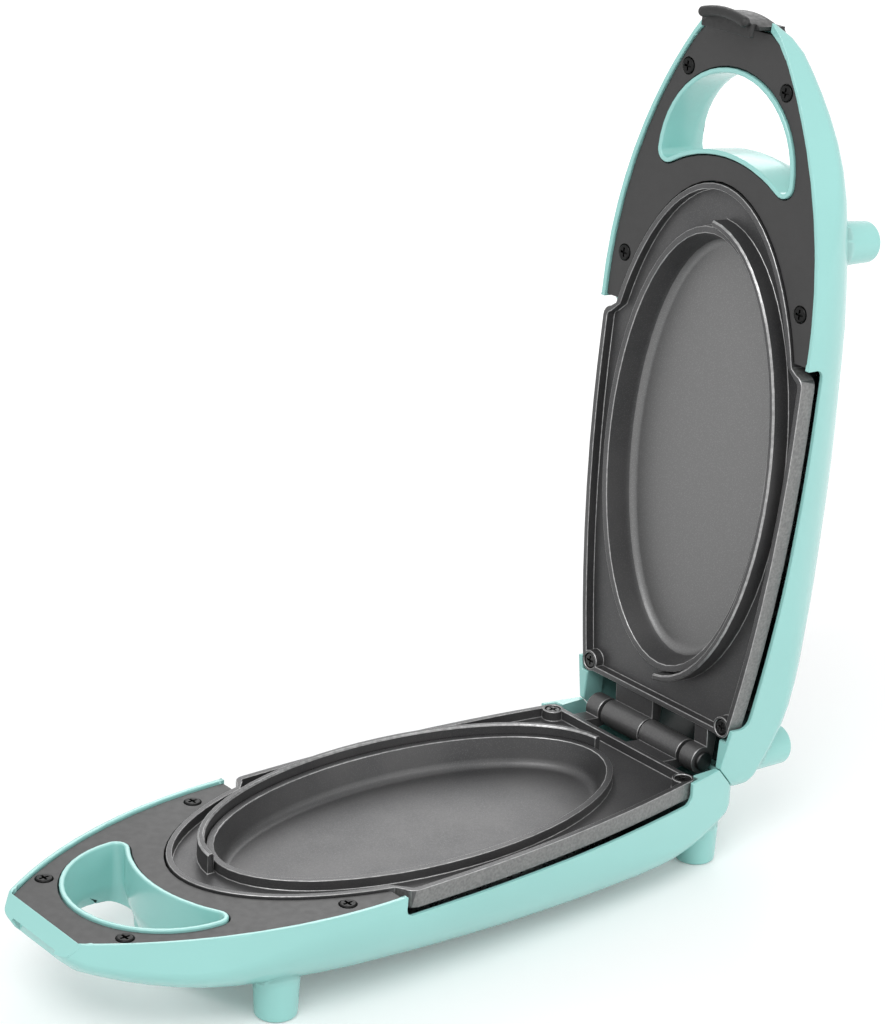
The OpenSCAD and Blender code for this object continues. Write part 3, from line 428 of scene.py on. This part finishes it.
def roundShell(mesh, body, s):
    place, normal = cornerPlaces(mesh), read(mesh.corner_normals, "vector", 3)
    total = readWhole(mesh.polygons, "loop_total")
    face = np.repeat(read(mesh.polygons, "normal", 3), total, axis=0)

    def level(points):
        return outside(*inHalf(points, body))

    here, least = level(place)
    ways = np.eye(3) * s["reach"] * mm
    slope = np.stack([level(place + way)[0] - level(place - way)[0] for way in ways], axis=1)
    slope /= np.maximum(np.linalg.norm(slope, axis=1, keepdims=True), tiny)
    agree = np.maximum((slope * face).sum(1), (slope * normal).sum(1))
    use = (abs(here) * least < s["near"]) & (agree > s["agree"])
    normal[use] = slope[use]
    mesh.normals_split_custom_set(normal)
    print("shell corners on the formula:", int(use.sum()), "of", len(use))


# Which edges get rounded. The angle is the least turn of the two faces, in degrees; runsOn and acute are
# lengths of the sum of the unit directions in which two edges leave a vertex
free = dict(angle=34, runsOn=0.68, acute=1.8)


# Edges where two faces turn by more than the angle, outward unless hollow edges count too. The turn is
# acos(n1 . n2); outward is (n1 x n2) . way > 0, the way taken as the first face winds it
def sharpEdges(mesh, ends, way, s, hollow):
    edgeOf, vertexOf = readWhole(mesh.loops, "edge_index"), readWhole(mesh.loops, "vertex_index")
    normal, total = read(mesh.polygons, "normal", 3), readWhole(mesh.polygons, "loop_total")
    count = np.bincount(edgeOf, minlength=len(ends))
    order = np.argsort(edgeOf, kind="stable")
    faceOf = np.repeat(np.arange(len(total)), total)[order]
    first = np.cumsum(count) - count
    second = np.minimum(first + 1, len(edgeOf) - 1)
    one, other = normal[faceOf[first]], normal[faceOf[second]]
    wound = np.where(vertexOf[order[first]] == ends[:, 0], 1, -1)
    outward = wound * (np.cross(one, other) * way).sum(1) > 0
    turned = (one * other).sum(1) < math.cos(math.radians(s["angle"]))
    return (count == 2) & turned & (outward | hollow)


# An end of an edge is clear where two sharp edges meet and run on, that is the directions in which they
# leave nearly cancel, or where no edge that meets there is short. Where just two sharp edges meet, only
# these two have to be long, and they mustn't fold back
def clearEnds(ends, way, length, sharp, points, s, clear):
    meeting, leaving = np.zeros(points), np.zeros((points, 3))
    shortest, shortestSharp = np.ones(points), np.ones(points)
    np.add.at(meeting, ends[sharp].ravel(), 1)
    np.add.at(leaving, ends[sharp][:, 0], way[sharp])
    np.add.at(leaving, ends[sharp][:, 1], -way[sharp])
    np.minimum.at(shortest, ends.ravel(), np.repeat(length, 2))
    np.minimum.at(shortestSharp, ends[sharp].ravel(), np.repeat(length[sharp], 2))
    lean = np.linalg.norm(leaving, axis=1)
    runsOn = (meeting == 2) & (lean < s["runsOn"])
    apart = np.where(meeting == 2, (shortestSharp > clear) & (lean < s["acute"]), shortest > clear)
    return (runsOn | apart)[ends].all(axis=1)


# The edges to round get weight 1: sharp, and clear at both ends
def weighEdges(mesh, s, clear, hollow):
    ends, place = readWhole(mesh.edges, "vertices", 2), read(mesh.vertices, "co", 3)
    way = place[ends[:, 1]] - place[ends[:, 0]]
    length = np.linalg.norm(way, axis=1)
    sharp = sharpEdges(mesh, ends, way, s, hollow)
    way /= np.maximum(length, tiny)[:, None]
    weight = mesh.attributes.new("bevel_weight_edge", "FLOAT", "EDGE")
    rounded = sharp & clearEnds(ends, way, length, sharp, len(place), s, clear * mm)
    weight.data.foreach_set("value", rounded.astype(np.float32))


# How a piece is dressed: squares of a set width in mm, counted in rows; vertices nearer than merge, in mm,
# are one; faces that turn by less than flat, in degrees, are one; an edge is short below crowd times the
# rounding; hollow says whether inner corners are rounded too; shadow moves the edge of a shadow off the
# facets, by a share of the shading and of the shape
dressing = dict(square=12, rows=100, merge=0.02, flat=0.05, crowd=3, hollow=False, segments=2,
                shadow=(0.3, 1.0))
castDressing = dict(dressing, crowd=0.5, hollow=True)


# Loose triangles joined and flats made whole within squares, so that no face wraps round a hole. Meanwhile
# the number of a face's square, rows * row + column, stands in its material index
def joinFlats(mesh, body, s):
    (along, across, _), _ = facesOf(mesh, body)
    row, column = (np.floor(way / s["square"] + s["rows"] / 2) for way in (along, across))
    mesh.polygons.foreach_set("material_index", (s["rows"] * row + column).astype(np.int32))
    work = bmesh.new()
    work.from_mesh(mesh)
    bmesh.ops.remove_doubles(work, verts=work.verts, dist=s["merge"] * mm)
    bmesh.ops.dissolve_limit(work, angle_limit=math.radians(s["flat"]), verts=work.verts, edges=work.edges,
                             delimit={"MATERIAL"})
    work.to_mesh(mesh)
    work.free()
    mesh.polygons.foreach_set("material_index", np.zeros(len(mesh.polygons), np.int32))


def roundEdges(piece, edge, s, edgeFinish):
    bevel = piece.modifiers.new("rounded edges", "BEVEL")
    bevel.width = edge * mm
    bevel.segments = s["segments"]
    bevel.limit_method = "WEIGHT"
    bevel.use_clamp_overlap = False
    if edgeFinish:
        # the rounded faces take the edge finish; for the castings that is lighter metal, rubbed and painted
        # highlight
        piece.data.materials.append(edgeFinish)
        bevel.material = 1


# A CAD piece with its flats joined, its marks set, its free edges rounded by edge mm, and shaded smooth
def dress(name, edge, s, edgeFinish=None):
    mesh = nodes[name].data.copy()
    mesh.materials.clear()
    joinFlats(mesh, bodyOf(name), s)
    mesh.materials.append(finishOf(name))
    if "cooking_plate" in name:
        markPlate(mesh, bodyOf(name), plateMarks)
    if "shell" in name:
        markShellShade(mesh, bodyOf(name), shellShadeMarks)
    mesh.polygons.foreach_set("use_smooth", np.ones(len(mesh.polygons), bool))
    mesh.set_sharp_from_angle(angle=math.radians(free["angle"]))
    weighEdges(mesh, free, s["crowd"] * edge, s["hollow"])
    piece = bpy.data.objects.new("dressed_" + name, mesh)
    bpy.context.scene.collection.objects.link(piece)
    if edge:
        roundEdges(piece, edge, s, edgeFinish)
    weigh = piece.modifiers.new("even shading", "WEIGHTED_NORMAL")
    weigh.keep_sharp = True
    if "shell" in name:
        shaped = piece.evaluated_get(bpy.context.evaluated_depsgraph_get())
        piece.data = bpy.data.meshes.new_from_object(shaped)
        piece.modifiers.clear()
        roundShell(piece.data, bodyOf(name), rounding)
    piece.cycles.shadow_terminator_offset, piece.cycles.shadow_terminator_geometry_offset = s["shadow"]
    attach(piece, bodyOf(name))
    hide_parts(name)


# The rounding of each dressed piece's edges, in mm; 0 leaves them sharp. All other pieces stay as the CAD
# has them
edges = dict(shell=0.5, handle_panel=0.3, cooking_plate=0.28, panel_screws=0.12, plate_screws=0.12,
             latch=0.4, hinge_pin=0.3, cord_gland=0.3, heating_element=0, heat_shield=0.3)
# lighter metal on the castings' rounded edges: rubbed metal and painted highlight both
rubbedAndHighlight = mottled("rubbed edge", rubbedAndHighlightEdge)


def dressAll(s):
    for name in nodes:
        plain = plainName(name)
        if plain == "cooking_plate":
            dress(name, s[plain], castDressing, rubbedAndHighlight)
        elif plain in s:
            dress(name, s[plain], dressing)
        else:
            nodes[name].data.materials.clear()
            nodes[name].data.materials.append(finishOf(name))
    print("pieces dressed")


dressAll(edges)


# Floor and light, in metres and watts: a pale floor that shows white where no shadow falls, one soft key,
# one fill, one rim. The floor glows a little for the rays that are seen, more so far out
stage = dict(
    floorSize=9.0, floorColor=0.85, floorRoughness=0.9, floorLift=(0.115, 0.6), liftSpan=(0.45, 2.5),
    world=0.75, worldSeen=1.0, target=(0, 0, 0.12),
    lamps=(dict(name="key", place=(-0.9, -0.7, 1.5), size=1.1, power=13),
           dict(name="fill", place=(0.5, -1.4, 0.7), size=1.2, power=5),
           dict(name="rim", place=(0.9, 1.0, 1.0), size=1.0, power=6)))


# 1 where the ray comes straight from the camera, or by a mirror or glass, else 0
def seenRay(tree):
    path = tree.nodes.new("ShaderNodeLightPath")
    total = path.outputs["Is Camera Ray"]
    for other in ("Is Glossy Ray", "Is Transmission Ray"):
        total = joinValues(tree, "MAXIMUM", total, path.outputs[other])
    return total


def makeFloor(s):
    reach = s["floorSize"] / 2
    corners = [(-reach, -reach, 0), (reach, -reach, 0), (reach, reach, 0), (-reach, reach, 0)]
    mesh = bpy.data.meshes.new("floor")
    mesh.from_pydata(corners, [], [(0, 1, 2, 3)])
    floor = bpy.data.objects.new("floor", mesh)
    bpy.context.scene.collection.objects.link(floor)
    made = Finish("pale floor", (s["floorColor"],) * 3, Roughness=s["floorRoughness"],
                  Specular_IOR_Level=0.0)
    far = made.tree.nodes.new("ShaderNodeVectorMath")
    far.operation = "LENGTH"
    made.tree.links.new(made.place, far.inputs[0])
    grow = made.spread(far.outputs["Value"], *s["floorLift"], *s["liftSpan"])
    made.set(Emission_Color=white)
    made.paint(joinValues(made.tree, "MULTIPLY", seenRay(made.tree), grow), "Emission Strength")
    mesh.materials.append(made.material)


def makeWorld(s):
    world = bpy.data.worlds.new("studio")
    world.use_nodes = True
    tree = world.node_tree
    sky = tree.nodes["Background"]
    sky.inputs["Color"].default_value = white
    level = addNode(tree, "ShaderNodeMapRange", Value=seenRay(tree), To_Min=s["world"],
                    To_Max=s["worldSeen"])
    tree.links.new(level.outputs["Result"], sky.inputs["Strength"])
    bpy.context.scene.world = world


def makeLamp(s, target):
    data = bpy.data.lights.new(s["name"], "AREA")
    data.shape = "DISK"
    data.size = s["size"]
    data.energy = s["power"]
    lamp = bpy.data.objects.new(s["name"], data)
    lamp.location = s["place"]
    lamp.rotation_euler = (Vector(target) - Vector(s["place"])).to_track_quat("-Z", "Y").to_euler()
    bpy.context.scene.collection.objects.link(lamp)


def makeStage(s):
    makeFloor(s)
    makeWorld(s)
    for lamp in s["lamps"]:
        makeLamp(lamp, s["target"])
    bpy.context.scene.view_settings.view_transform = "Standard"
    print("stage lit")


makeStage(stage)
